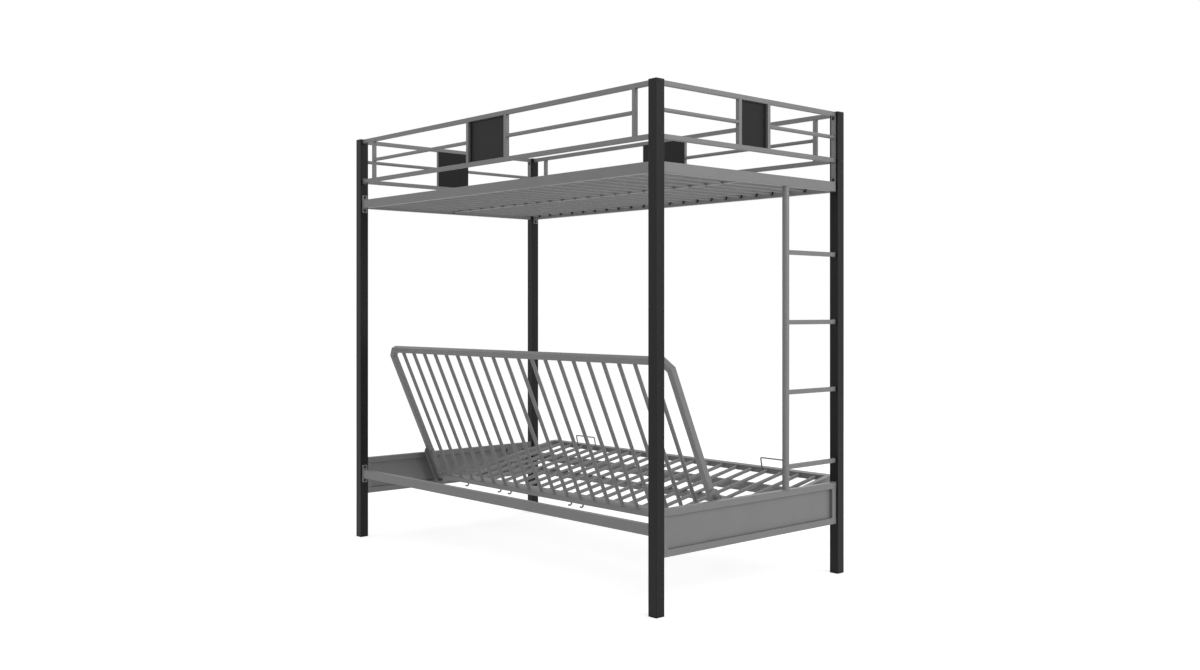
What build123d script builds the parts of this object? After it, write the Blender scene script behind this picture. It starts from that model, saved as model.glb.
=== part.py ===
"""Sofa to bunk bed.

Four posts carry an upper bunk inside guard rails. The sofa below it is a backrest
and a seat, hinged to each other, that fold down together into a flat bed.

Millimetres, +Z up. The origin is on the floor under the middle of the outline.
The sofa faces -Y. The ladder is at the -X end, the left end seen from the front.
"""
import os
from math import cos, radians, sin, sqrt

from build123d import *

# Standing frame, over its posts
frame_length = 1981
frame_depth = 1054
frame_height = 1840

# Posts, with a moulded plug in each end
post_size = 40
post_wall = 1.5
post_corner_radius = 2
cap_thickness = 3
cap_edge = 1
foot_thickness = 5
plug_leg = 8
plug_depth = 18
plug_clearance = 0.1

# Square and rectangular tubes are rounded outside, and bolted plates at their corners
tube_corner_radius = 2
plate_corner_radius = 3

# Guard rails round the upper bunk
guard_size = 16
guard_wall = 1.2
guard_top_drop = 10
guard_spacing = 184
guard_end_bay = 86.5
long_panel_bay = 254
end_panel_bay = 162
guard_panel_thickness = 4
guard_plate_width = 20
guard_plate_thickness = 3
guard_top_plate_height = 20
guard_low_plate_height = 36
end_bar_width = 20
end_bar_thickness = 4
end_bar_top_bolt_drop = 18
end_bar_low_bolt_rise = 10

# Round rods: slats of the deck, seat and backrest, and the middle rods of the guards
rod_diameter = 14
rod_wall = 1
deck_rod_count = 22
deck_end_bay = 47.5
fold_rod_count = 20
fold_end_bay = 81.5

# Side rails of the deck and the low side rails
rail_height = 38
rail_width = 25
rail_wall = 1.5
deck_drop = 300
low_rail_z = 292.5
rail_plate_height = 80
rail_plate_width = 26
rail_plate_thickness = 4
rail_bolt_pitch = 62

# Deck: sockets at the slat ends and the riveted strap under their middle
socket_diameter = 20
socket_length = 6
strap_width = 20
strap_thickness = 3
rivet_diameter = 9
rivet_height = 2.5

# Lower end panels
panel_tube = 25
panel_wall = 1.2
end_panel_top_z = 364
end_panel_height = 165
end_sheet_thickness = 1.5

# Ladder between the end panel and the deck, beside the front post
ladder_depth = 714
ladder_diameter = 25
ladder_wall = 1.5
rung_height_shares = (0.2922, 0.4773, 0.651, 0.8247)

# Bolts of the standing frame
bolt_diameter = 6
bolt_head_diameter = 13
bolt_head_height = 4
bolt_grip = 12
bolt_clearance = 0.25

# Folding frames of the sofa
fold_tube = 25
fold_wall = 1.2
backrest_length = 696
backrest_top_chamfer = 40
small_chamfer = 18
corner_leg = 12
backrest_lean = 24
seat_slope = 11
pivot_depth = 370
pivot_below_top = 577.5
crease_below_pivot = 133
seat_before_crease = 705
seat_rear_before_crease = 62

# Hinge plates on the backrest and arms on the seat
hinge_plate_thickness = 4
hinge_plate_width = 54
plate_bolt_above_pivot = 21.5
plate_bolt_diameter = 8
plate_bolt_head_diameter = 17
plate_bolt_head_height = 5
plate_nut_diameter = 14
plate_nut_height = 4
arm_thickness = 4
arm_length = 135
fold_gap = 1
running_gap = 0.3
running_clearance = 0.05

# Pivot between the end panels and the hinge plates
boss_diameter = 24
boss_length = 30.2
pivot_bolt_diameter = 10
pivot_head_diameter = 16
pivot_head_height = 2

# Crease pin between the hinge plate and the seat arm
crease_pin_diameter = 12
crease_head_diameter = 18
crease_head_height = 3
crease_sleeve_diameter = 20

# Guide pins of the seat and the slotted plates that carry them
guide_pin_diameter = 12
guide_pin_before_crease = 455
guide_pin_drop = 22
guide_lug_width = 24
guide_slot_clearance = 1
guide_plate_thickness = 4
guide_plate_margin = 13
guide_plate_corner_radius = 16
guide_pin_end_gap = 0.5
guide_path_steps = 12

# Bar under the seat rods, wire mattress stops and tie hooks
support_bar_before_crease = 345
stop_wire_diameter = 5
stop_width = 142
stop_height = 61
stop_foot_drop = 10
stop_bend_radius = 6
stop_spacing = 1211
hook_wire_diameter = 5
hook_shank = 15
hook_bend_radius = 10
hook_turn = 150
hook_pair_width = 77
hook_pitch = 504
hook_end_place = 800

os.makedirs("parts", exist_ok=True)

# Where the sofa lies, as depths in front of the frame's back faces
lean = radians(backrest_lean)
slope = radians(seat_slope)
fold_angle = 90 - backrest_lean
pivot_z = end_panel_top_z - panel_tube / 2
crease_depth = pivot_depth + crease_below_pivot * sin(lean)
seat_front_depth = crease_depth + seat_before_crease * cos(slope)
seat_corner_reach = (fold_tube / 2 - tube_corner_radius) * sin(slope) + tube_corner_radius * (1 - cos(slope))
outline_depth = max(frame_depth, seat_front_depth + seat_corner_reach)


def y_at(depth):
    """The y of a place that far in front of the frame's back faces."""
    return outline_depth / 2 - depth


# Levels that follow the frame's height
guard_top_z = frame_height - guard_top_drop
guard_low_z = guard_top_z - guard_spacing
deck_z = frame_height - deck_drop
rung_heights = [share * deck_z for share in rung_height_shares]

# Places that several pieces share
ends = (("left", -1), ("right", 1))
post_x = frame_length / 2 - post_size / 2
inner_x = frame_length / 2 - post_size
long_sides = (
    ("back", y_at(post_size / 2), -1),
    ("front", y_at(frame_depth - post_size / 2), 1),
)
post_gap = frame_depth - 2 * post_size
middle_y = y_at(frame_depth / 2)
guard_middle_z = (guard_top_z + guard_low_z) / 2
guard_clear_height = guard_top_z - guard_low_z - guard_size
panel_inner_x = post_x - panel_tube / 2
bolt_hole_radius = bolt_diameter / 2 + bolt_clearance

# Directions and edges of the two folding frames
across = Vector(1, 0, 0)
up_backrest = Vector(0, sin(lean), cos(lean))
seat_forward = Vector(0, -cos(slope), sin(slope))
pivot = Vector(0, y_at(pivot_depth), pivot_z)
crease = pivot - up_backrest * crease_below_pivot
backrest_top = pivot + up_backrest * pivot_below_top
backrest_bottom = backrest_top - up_backrest * backrest_length
seat_front = crease + seat_forward * seat_before_crease
seat_rear = crease + seat_forward * seat_rear_before_crease
seat_length = seat_before_crease - seat_rear_before_crease
boss_inner_x = panel_inner_x - boss_length
hinge_outer_x = boss_inner_x - running_gap
backrest_half = hinge_outer_x - hinge_plate_thickness
backrest_width = 2 * backrest_half
arm_outer_x = backrest_half - fold_tube - fold_gap
seat_half = arm_outer_x - arm_thickness
seat_width = 2 * seat_half


def save(solid, name):
    """Labels a finished piece and writes its file."""
    solid.label = name
    export_step(solid, f"parts/{name}.step")


def tube_section(width, height, wall):
    """The cross-section of a rectangular tube."""
    with BuildSketch() as section:
        RectangleRounded(width, height, tube_corner_radius)
        Rectangle(width - 2 * wall, height - 2 * wall, mode=Mode.SUBTRACT)
    return section.sketch


def round_section(diameter, wall):
    """The cross-section of a round tube."""
    with BuildSketch() as section:
        Circle(diameter / 2)
        Circle(diameter / 2 - wall, mode=Mode.SUBTRACT)
    return section.sketch


def spread(count, reach):
    """The x of each rod of an even row whose end rods lie that far from the middle."""
    return [reach * (2 * index / (count - 1) - 1) for index in range(count)]


slat_places = spread(deck_rod_count, inner_x - deck_end_bay)
fold_rod_places = spread(fold_rod_count, backrest_half - fold_tube - fold_end_bay)


guard_section = tube_section(guard_size, guard_size, guard_wall)
rail_section = tube_section(rail_width, rail_height, rail_wall)
panel_section = tube_section(panel_tube, panel_tube, panel_wall)
fold_section = tube_section(fold_tube, fold_tube, fold_wall)
rod_section = round_section(rod_diameter, rod_wall)


# Posts, with the holes of the bolts that reach them

rail_bolt_heights = [z + step * rail_bolt_pitch / 2 for z in (deck_z, low_rail_z) for step in (-1, 1)]
end_bar_bolt_heights = (
    guard_top_z - end_bar_top_bolt_drop,
    deck_z + rail_height / 2 + end_bar_low_bolt_rise,
)

for end_name, end in ends:
    for side_name, side_y, facing in long_sides:
        with BuildPart() as post:
            with BuildSketch(Plane.XY.offset(foot_thickness)):
                with Locations((end * post_x, side_y)):
                    RectangleRounded(post_size, post_size, post_corner_radius)
                    Rectangle(post_size - 2 * post_wall, post_size - 2 * post_wall, mode=Mode.SUBTRACT)
            extrude(amount=frame_height - foot_thickness - cap_thickness)
            # Bolts of the long guards pass through both walls
            with BuildSketch(Plane.YZ.offset(end * inner_x)):
                with Locations((side_y, guard_top_z), (side_y, guard_low_z)):
                    Circle(bolt_hole_radius)
            extrude(amount=end * post_size, mode=Mode.SUBTRACT)
            # Bolts of the side rails pass through the wall that faces along the bed
            with BuildSketch(Plane.YZ.offset(end * inner_x)):
                with Locations([(side_y, z) for z in rail_bolt_heights]):
                    Circle(bolt_hole_radius)
            extrude(amount=end * post_wall, mode=Mode.SUBTRACT)
            # Bolts of the end guards pass through the wall that faces across the bed
            with BuildSketch(Plane.XZ.offset(-side_y - facing * post_size / 2)):
                with Locations([(end * post_x, z) for z in end_bar_bolt_heights]):
                    Circle(bolt_hole_radius)
            extrude(amount=facing * post_wall, mode=Mode.SUBTRACT)
        save(post.part, f"post_{side_name}_{end_name}")


def post_plug(flange_thickness):
    """A plug for a post's lower end: a flange under four legs that grip the bore."""
    leg_place = post_size / 2 - post_wall - plug_clearance - plug_leg / 2
    with BuildPart() as plug:
        with BuildSketch():
            RectangleRounded(post_size, post_size, post_corner_radius)
        extrude(amount=flange_thickness)
        with BuildSketch(Plane.XY.offset(flange_thickness)):
            with GridLocations(2 * leg_place, 2 * leg_place, 2, 2):
                Rectangle(plug_leg, plug_leg)
        extrude(amount=plug_depth)
    return plug.part


post_places = [(end * post_x, side_y) for _, end in ends for _, side_y, _ in long_sides]
foot_plug = post_plug(foot_thickness)

with BuildPart() as cap_plug:
    add(post_plug(cap_thickness))
    chamfer(cap_plug.faces().sort_by(Axis.Z)[0].edges(), cap_edge)

with BuildPart() as post_feet:
    with Locations([(x, y, 0) for x, y in post_places]):
        add(foot_plug)
save(post_feet.part, "post_feet")

with BuildPart() as post_caps:
    with Locations([(x, y, frame_height) for x, y in post_places]):
        add(cap_plug.part, rotation=(180, 0, 0))
save(post_caps.part, "post_caps")


# Guards along the bed

guard_reach = inner_x - guard_plate_thickness
outer_upright_x = inner_x - guard_end_bay
inner_upright_x = long_panel_bay / 2
long_rod_length = outer_upright_x - inner_upright_x - guard_size
guard_plates = ((guard_top_z, guard_top_plate_height), (guard_low_z, guard_low_plate_height))

for side_name, side_y, facing in long_sides:
    with BuildPart() as guard_rails:
        with BuildSketch(Plane.YZ.offset(-guard_reach)):
            with Locations((side_y, guard_top_z), (side_y, guard_low_z)):
                add(guard_section)
        extrude(amount=2 * guard_reach)
        for start in (-inner_x, guard_reach):
            with BuildSketch(Plane.YZ.offset(start)):
                for plate_z, plate_height in guard_plates:
                    with Locations((side_y, plate_z)):
                        RectangleRounded(guard_plate_width, plate_height, plate_corner_radius)
                        Circle(bolt_diameter / 2 + running_clearance, mode=Mode.SUBTRACT)
            extrude(amount=guard_plate_thickness)
    save(guard_rails.part, f"guard_rails_{side_name}")

    with BuildPart() as guard_uprights:
        with BuildSketch(Plane.XY.offset(guard_low_z + guard_size / 2)):
            for x in (outer_upright_x, inner_upright_x):
                with Locations((-x, side_y), (x, side_y)):
                    add(guard_section)
        extrude(amount=guard_clear_height)
    save(guard_uprights.part, f"guard_uprights_{side_name}")

    with BuildPart() as guard_rods:
        for start in (-outer_upright_x, inner_upright_x):
            with BuildSketch(Plane.YZ.offset(start + guard_size / 2)):
                with Locations((side_y, guard_middle_z)):
                    add(rod_section)
            extrude(amount=long_rod_length)
    save(guard_rods.part, f"guard_rods_{side_name}")

    with BuildPart() as guard_panel:
        panel_y = side_y + facing * (guard_size - guard_panel_thickness) / 2
        with BuildSketch(Plane.XY.offset(guard_low_z + guard_size / 2)):
            with Locations((0, panel_y)):
                Rectangle(long_panel_bay - guard_size, guard_panel_thickness)
        extrude(amount=guard_clear_height)
    save(guard_panel.part, f"guard_panel_{side_name}")


# Guards across the ends, welded between two flat bars with the deck's end rail

end_rail_length = post_gap - 2 * end_bar_thickness
end_rail_start = post_size + end_bar_thickness
end_bar_low_z = deck_z - rail_height / 2
end_bar_high_z = guard_top_z + guard_size / 2
end_rod_length = (end_rail_length - end_panel_bay - guard_size) / 2
end_bar_depths = (post_size, frame_depth - post_size - end_bar_thickness)

for end_name, end in ends:
    with BuildPart() as guard_rails:
        with BuildSketch(Plane.XZ.offset(-y_at(end_rail_start))):
            with Locations((end * post_x, guard_top_z), (end * post_x, guard_low_z)):
                add(guard_section)
        extrude(amount=end_rail_length)
    save(guard_rails.part, f"guard_rails_{end_name}")

    with BuildPart() as guard_uprights:
        with BuildSketch(Plane.XY.offset(guard_low_z + guard_size / 2)):
            for step in (-1, 1):
                with Locations((end * post_x, middle_y + step * end_panel_bay / 2)):
                    add(guard_section)
        extrude(amount=guard_clear_height)
        for bar_depth in end_bar_depths:
            with BuildSketch(Plane.XZ.offset(-y_at(bar_depth))):
                with Locations((end * post_x, (end_bar_low_z + end_bar_high_z) / 2)):
                    Rectangle(end_bar_width, end_bar_high_z - end_bar_low_z)
                with Locations([(end * post_x, z) for z in end_bar_bolt_heights]):
                    Circle(bolt_hole_radius, mode=Mode.SUBTRACT)
            extrude(amount=end_bar_thickness)
    save(guard_uprights.part, f"guard_uprights_{end_name}")

    with BuildPart() as guard_rods:
        for start in (end_rail_start, frame_depth - end_rail_start - end_rod_length):
            with BuildSketch(Plane.XZ.offset(-y_at(start))):
                with Locations((end * post_x, guard_middle_z)):
                    add(rod_section)
            extrude(amount=end_rod_length)
    save(guard_rods.part, f"guard_rods_{end_name}")

    with BuildPart() as guard_panel:
        panel_x = end * (post_x - (guard_size - guard_panel_thickness) / 2)
        with BuildSketch(Plane.XY.offset(guard_low_z + guard_size / 2)):
            with Locations((panel_x, middle_y)):
                Rectangle(guard_panel_thickness, end_panel_bay - guard_size)
        extrude(amount=guard_clear_height)
    save(guard_panel.part, f"guard_panel_{end_name}")

    with BuildPart() as deck_end_rail:
        with BuildSketch(Plane.XZ.offset(-y_at(end_rail_start))):
            with Locations((end * post_x, deck_z)):
                add(rail_section)
        extrude(amount=end_rail_length)
    save(deck_end_rail.part, f"deck_end_rail_{end_name}")


# Side rails of the deck and low side rails: a tube in a bolted plate at each end

for level_name, level_z in (("deck_side_rail", deck_z), ("low_rail", low_rail_z)):
    for side_name, side_y, facing in long_sides:
        with BuildPart() as side_rail:
            with BuildSketch(Plane.YZ.offset(-inner_x)):
                with Locations((side_y, level_z)):
                    add(rail_section)
            extrude(amount=2 * inner_x)
            for start in (-inner_x, inner_x - rail_plate_thickness):
                with BuildSketch(Plane.YZ.offset(start)):
                    with Locations((side_y, level_z)):
                        RectangleRounded(rail_plate_width, rail_plate_height, plate_corner_radius)
                        Rectangle(rail_width - 2 * rail_wall, rail_height - 2 * rail_wall, mode=Mode.SUBTRACT)
                        with GridLocations(0, rail_bolt_pitch, 1, 2):
                            Circle(bolt_hole_radius, mode=Mode.SUBTRACT)
                extrude(amount=rail_plate_thickness)
        save(side_rail.part, f"{level_name}_{side_name}")


# Deck: slats in sockets, and a strap riveted under their middle

slat_start = post_size / 2 + rail_width / 2 + socket_length
slat_length = frame_depth - 2 * slat_start

with BuildPart() as deck_slats:
    with BuildSketch(Plane.XZ.offset(-y_at(slat_start))):
        with Locations([(x, deck_z) for x in slat_places]):
            add(rod_section)
    extrude(amount=slat_length)
save(deck_slats.part, "deck_slats")

with BuildPart() as deck_slat_sockets:
    for start in (slat_start - socket_length, slat_start + slat_length):
        with BuildSketch(Plane.XZ.offset(-y_at(start))):
            with Locations([(x, deck_z) for x in slat_places]):
                Circle(socket_diameter / 2)
        extrude(amount=socket_length)
save(deck_slat_sockets.part, "deck_slat_sockets")

with BuildPart() as deck_strap:
    strap_reach = post_x - rail_width / 2
    with BuildSketch(Plane.XY.offset(deck_z - rod_diameter / 2)):
        with Locations((0, middle_y)):
            Rectangle(2 * strap_reach, strap_width)
    extrude(amount=-strap_thickness)
    with BuildSketch(Plane.XY.offset(deck_z - rod_diameter / 2 - strap_thickness)):
        with Locations([(x, middle_y) for x in slat_places]):
            Circle(rivet_diameter / 2)
    extrude(amount=-rivet_height)
save(deck_strap.part, "deck_strap")


# Lower end panels: a welded frame of tubes round a sheet

end_panel_low_z = end_panel_top_z - end_panel_height
sheet_height = end_panel_height - 2 * panel_tube
sheet_length = post_gap - 2 * panel_tube

for end_name, end in ends:
    with BuildPart() as end_panel_rails:
        with BuildSketch(Plane.XZ.offset(-y_at(post_size))):
            for z in (end_panel_low_z + panel_tube / 2, end_panel_top_z - panel_tube / 2):
                with Locations((end * post_x, z)):
                    add(panel_section)
        extrude(amount=post_gap)
    save(end_panel_rails.part, f"end_panel_rails_{end_name}")

    with BuildPart() as end_panel_sheet:
        with BuildSketch(Plane.XY.offset(end_panel_low_z + panel_tube)):
            with Locations((end * post_x, middle_y)):
                Rectangle(end_sheet_thickness, sheet_length)
        extrude(amount=sheet_height)
    save(end_panel_sheet.part, f"end_panel_sheet_{end_name}")

with BuildPart() as end_panel_stiles:
    with BuildSketch(Plane.XY.offset(end_panel_low_z + panel_tube)):
        with Locations((0, middle_y)):
            with GridLocations(2 * post_x, post_gap - panel_tube, 2, 2):
                add(panel_section)
    extrude(amount=sheet_height)
save(end_panel_stiles.part, "end_panel_stiles")


# Ladder

ladder_y = y_at(ladder_depth)
rung_length = frame_depth - post_size - ladder_depth

with BuildPart() as ladder_upright:
    with BuildSketch(Plane.XY.offset(end_panel_top_z)):
        with Locations((-post_x, ladder_y)):
            add(round_section(ladder_diameter, ladder_wall))
    extrude(amount=deck_z - rail_height / 2 - end_panel_top_z)
save(ladder_upright.part, "ladder_upright")

with BuildPart() as ladder_rungs:
    with BuildSketch(Plane.XZ.offset(-ladder_y)):
        with Locations([(-post_x, z) for z in rung_heights]):
            add(guard_section)
    extrude(amount=rung_length)
    # Each rung is coped to the round upright
    with BuildSketch(Plane.XY.offset(end_panel_top_z)):
        with Locations((-post_x, ladder_y)):
            Circle(ladder_diameter / 2)
    extrude(amount=deck_z - end_panel_top_z, mode=Mode.SUBTRACT)
save(ladder_rungs.part, "ladder_rungs")


# Bolts

def dome_bolt(length):
    """A dome-headed bolt: its head stands on z 0 and its shank reaches down."""
    dome = (bolt_head_diameter**2 / 4 + bolt_head_height**2) / (2 * bolt_head_height)
    with BuildPart() as bolt:
        with BuildSketch(Plane.XZ) as profile:
            with BuildLine():
                head_side = Line((0, 0), (bolt_head_diameter / 2, 0))
                RadiusArc(head_side @ 1, (0, bolt_head_height), -dome)
                Line((0, bolt_head_height), (0, 0))
            make_face()
        revolve(axis=Axis.Z)
        with BuildSketch():
            Circle(bolt_diameter / 2)
        extrude(amount=-length)
    return bolt.part


through_bolt = dome_bolt(post_size + guard_plate_thickness + bolt_grip)
bar_bolt = dome_bolt(end_bar_thickness + post_wall + bolt_grip)
plate_bolt = dome_bolt(rail_plate_thickness + post_wall + bolt_grip)
bar_bolt_depths = (end_rail_start, frame_depth - end_rail_start)

with BuildPart() as frame_bolts:
    for _, end in ends:
        outward = Vector(end, 0, 0)
        plate_face_x = end * (inner_x - rail_plate_thickness)
        for _, side_y, _ in long_sides:
            for z in (guard_top_z, guard_low_z):
                with Locations(Plane(origin=(end * frame_length / 2, side_y, z), z_dir=outward)):
                    add(through_bolt)
            for z in rail_bolt_heights:
                with Locations(Plane(origin=(plate_face_x, side_y, z), z_dir=-outward)):
                    add(plate_bolt)
        for bar_depth, facing in zip(bar_bolt_depths, (-1, 1)):
            for z in end_bar_bolt_heights:
                with Locations(Plane(origin=(end * post_x, y_at(bar_depth), z), z_dir=(0, facing, 0))):
                    add(bar_bolt)
save(frame_bolts.part, "frame_bolts")


# Folding frames: a rail at each end turns both corners and meets straight side tubes

def frame_plane(edge, inward):
    """A plane in a folding frame: x across the bed and y inwards from an outer edge."""
    return Plane(origin=edge, x_dir=across, z_dir=across.cross(inward))


def corner_turn(chamfer):
    """How far in from both outer faces the tube's centre line turns at a corner."""
    return chamfer + fold_tube * (1 / sqrt(2) - 1 / 2)


def corner_rail(edge, inward, width, chamfer):
    """A tube across a folding frame, mitred round both corners."""
    turn = corner_turn(chamfer)
    side = width / 2 - fold_tube / 2
    flat = width / 2 - turn
    plane = frame_plane(edge, inward)
    with BuildPart() as rail:
        with BuildLine(plane) as path:
            Polyline(
                (-side, turn + corner_leg),
                (-side, turn),
                (-flat, fold_tube / 2),
                (flat, fold_tube / 2),
                (side, turn),
                (side, turn + corner_leg),
            )
        with BuildSketch(Plane(origin=path.line @ 0, x_dir=plane.z_dir, z_dir=path.line % 0)):
            add(fold_section)
        sweep(transition=Transition.RIGHT)
    return rail.part


def side_tubes(edge, inward, width, length, near_chamfer, far_chamfer):
    """The two straight side tubes of a folding frame, between its corners."""
    near = corner_turn(near_chamfer) + corner_leg
    far = corner_turn(far_chamfer) + corner_leg
    with BuildPart() as tubes:
        with BuildSketch(Plane(origin=edge + inward * near, x_dir=across, z_dir=inward)):
            with GridLocations(width - fold_tube, 0, 2, 1):
                add(fold_section)
        extrude(amount=length - near - far)
    return tubes.part


def fold_rods(edge, inward, length):
    """The row of rods between the end rails of a folding frame."""
    with BuildPart() as rods:
        with BuildSketch(Plane(origin=edge + inward * fold_tube, x_dir=across, z_dir=inward)):
            with Locations([(x, 0) for x in fold_rod_places]):
                add(rod_section)
        extrude(amount=length - 2 * fold_tube)
    return rods.part


def backrest_side_plane(x):
    """A plane beside the backrest: x up along it from the pivot, y towards its front."""
    return Plane(origin=pivot + across * x, x_dir=up_backrest, z_dir=across)


def seat_side_plane(x):
    """A plane beside the seat: x forwards along it from the crease, y down from it."""
    return Plane(origin=crease + across * x, x_dir=seat_forward, z_dir=across)


# Backrest

with BuildPart() as backrest_rails:
    add(corner_rail(backrest_top, -up_backrest, backrest_width, backrest_top_chamfer))
    add(corner_rail(backrest_bottom, up_backrest, backrest_width, small_chamfer))
save(backrest_rails.part, "backrest_rails")

with BuildPart() as backrest_side_tubes:
    add(side_tubes(
        backrest_top, -up_backrest, backrest_width, backrest_length, backrest_top_chamfer, small_chamfer
    ))
    with BuildSketch(backrest_side_plane(-backrest_half)):
        Circle(pivot_bolt_diameter / 2 + running_clearance)
        with Locations((plate_bolt_above_pivot, 0)):
            Circle(plate_bolt_diameter / 2 + running_clearance)
    extrude(amount=backrest_width, mode=Mode.SUBTRACT)
save(backrest_side_tubes.part, "backrest_side_tubes")

with BuildPart() as backrest_rods:
    add(fold_rods(backrest_top, -up_backrest, backrest_length))
save(backrest_rods.part, "backrest_rods")

for end_name, end in ends:
    with BuildPart() as hinge_plate:
        with BuildSketch(backrest_side_plane(end * backrest_half)):
            with Locations(((plate_bolt_above_pivot - crease_below_pivot) / 2, 0)):
                SlotCenterToCenter(plate_bolt_above_pivot + crease_below_pivot, hinge_plate_width)
            with Locations((plate_bolt_above_pivot, 0)):
                Circle(plate_bolt_diameter / 2 + running_clearance, mode=Mode.SUBTRACT)
            Circle(pivot_bolt_diameter / 2 + running_clearance, mode=Mode.SUBTRACT)
            with Locations((-crease_below_pivot, 0)):
                Circle(crease_pin_diameter / 2 + running_clearance, mode=Mode.SUBTRACT)
        extrude(amount=end * hinge_plate_thickness)
    save(hinge_plate.part, f"hinge_plate_{end_name}")


def stepped_pin(plane_at, place, steps):
    """A pin along x from steps of radius, near x and far x, and its twin at the other end."""
    with BuildPart() as pin:
        for radius, near_x, far_x in steps:
            with BuildSketch(plane_at(near_x)):
                with Locations(place):
                    Circle(radius)
            extrude(amount=far_x - near_x)
        mirror(about=Plane.YZ)
    return pin.part


backrest_inner_x = backrest_half - fold_tube

with BuildPart() as hinge_plate_bolts:
    add(stepped_pin(backrest_side_plane, (plate_bolt_above_pivot, 0), (
        (plate_bolt_head_diameter / 2, backrest_inner_x - plate_bolt_head_height, backrest_inner_x),
        (plate_bolt_diameter / 2, backrest_inner_x, hinge_outer_x),
        (plate_nut_diameter / 2, hinge_outer_x, hinge_outer_x + plate_nut_height),
    )))
save(hinge_plate_bolts.part, "hinge_plate_bolts")

sleeve_inner_x = arm_outer_x + running_gap
pin_head_x = seat_half - running_gap

with BuildPart() as crease_pins:
    add(stepped_pin(backrest_side_plane, (-crease_below_pivot, 0), (
        (crease_head_diameter / 2, pin_head_x - crease_head_height, pin_head_x),
        (crease_pin_diameter / 2, pin_head_x, sleeve_inner_x),
        (crease_sleeve_diameter / 2, sleeve_inner_x, backrest_half),
        (crease_pin_diameter / 2, backrest_half, hinge_outer_x),
        (crease_head_diameter / 2, hinge_outer_x, hinge_outer_x + crease_head_height),
    )))
save(crease_pins.part, "crease_pins")


# Pivots on the end panels

pivot_head_x = backrest_inner_x - running_gap

with BuildPart() as pivot_bosses:
    with BuildSketch(backrest_side_plane(boss_inner_x)):
        Circle(boss_diameter / 2)
        Circle(pivot_bolt_diameter / 2 + running_clearance, mode=Mode.SUBTRACT)
    extrude(amount=panel_inner_x - boss_inner_x)
    mirror(about=Plane.YZ)
save(pivot_bosses.part, "pivot_bosses")

with BuildPart() as pivot_bolts:
    add(stepped_pin(backrest_side_plane, (0, 0), (
        (pivot_head_diameter / 2, pivot_head_x - pivot_head_height, pivot_head_x),
        (pivot_bolt_diameter / 2, pivot_head_x, panel_inner_x),
    )))
save(pivot_bolts.part, "pivot_bolts")


# Seat

with BuildPart() as seat_rails:
    add(corner_rail(seat_front, -seat_forward, seat_width, small_chamfer))
    add(corner_rail(seat_rear, seat_forward, seat_width, small_chamfer))
save(seat_rails.part, "seat_rails")

with BuildPart() as seat_side_tubes:
    add(side_tubes(seat_front, -seat_forward, seat_width, seat_length, small_chamfer, small_chamfer))
save(seat_side_tubes.part, "seat_side_tubes")

with BuildPart() as seat_rods:
    add(fold_rods(seat_front, -seat_forward, seat_length))
save(seat_rods.part, "seat_rods")

support_bar_drop = rod_diameter / 2 + fold_tube / 2
support_bar_reach = seat_half - fold_tube

with BuildPart() as seat_support_bar:
    with BuildSketch(seat_side_plane(-support_bar_reach)):
        with Locations((support_bar_before_crease, support_bar_drop)):
            add(fold_section)
    extrude(amount=2 * support_bar_reach)
save(seat_support_bar.part, "seat_support_bar")

for end_name, end in ends:
    with BuildPart() as seat_arm:
        with BuildSketch(seat_side_plane(end * seat_half)):
            with Locations((arm_length / 2, 0)):
                SlotCenterToCenter(arm_length, fold_tube)
            Circle(crease_pin_diameter / 2 + running_clearance, mode=Mode.SUBTRACT)
        extrude(amount=end * arm_thickness)
    save(seat_arm.part, f"seat_arm_{end_name}")

guide_pin_x = panel_inner_x - guide_pin_end_gap

with BuildPart() as guide_pins:
    for _, end in ends:
        with BuildSketch(seat_side_plane(end * seat_half)):
            with Locations((guide_pin_before_crease, guide_pin_drop / 2)):
                SlotCenterToCenter(guide_pin_drop, guide_lug_width, rotation=90)
        extrude(amount=end * arm_thickness)
        with BuildSketch(seat_side_plane(end * arm_outer_x)):
            with Locations((guide_pin_before_crease, guide_pin_drop)):
                Circle(guide_pin_diameter / 2)
        extrude(amount=end * (guide_pin_x - arm_outer_x))
save(guide_pins.part, "guide_pins")

stop_depth = seat_before_crease - fold_tube - stop_wire_diameter / 2
stop_side = stop_width / 2 - stop_wire_diameter / 2
stop_top = stop_height - stop_wire_diameter / 2

with BuildPart() as mattress_stops:
    for step in (-1, 1):
        foot = crease + seat_forward * stop_depth + across * (step * stop_spacing / 2)
        with BuildLine(Plane(origin=foot, x_dir=across, z_dir=seat_forward)) as path:
            FilletPolyline(
                (-stop_side, -stop_foot_drop),
                (-stop_side, stop_top),
                (stop_side, stop_top),
                (stop_side, -stop_foot_drop),
                radius=stop_bend_radius,
            )
        with BuildSketch(Plane(origin=path.line @ 0, z_dir=path.line % 0)):
            Circle(stop_wire_diameter / 2)
        sweep()
save(mattress_stops.part, "mattress_stops")

hook_before_crease = seat_rear_before_crease + fold_tube / 2
hook_places = [pair * hook_pitch + step * hook_pair_width / 2 for pair in (-1, 0, 1) for step in (-1, 1)]

with BuildPart() as tie_hooks:
    for hook_x in (-hook_end_place, *hook_places, hook_end_place):
        with BuildLine(seat_side_plane(hook_x)) as path:
            shank = Line(
                (hook_before_crease, fold_tube / 2),
                (hook_before_crease, fold_tube / 2 + hook_shank),
            )
            JernArc(shank @ 1, shank % 1, hook_bend_radius, hook_turn)
        with BuildSketch(Plane(origin=path.line @ 0, z_dir=path.line % 0)):
            Circle(hook_wire_diameter / 2)
        sweep()
save(tie_hooks.part, "tie_hooks")


# Guide plates: the slot follows the guide pin through the whole fold

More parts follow.
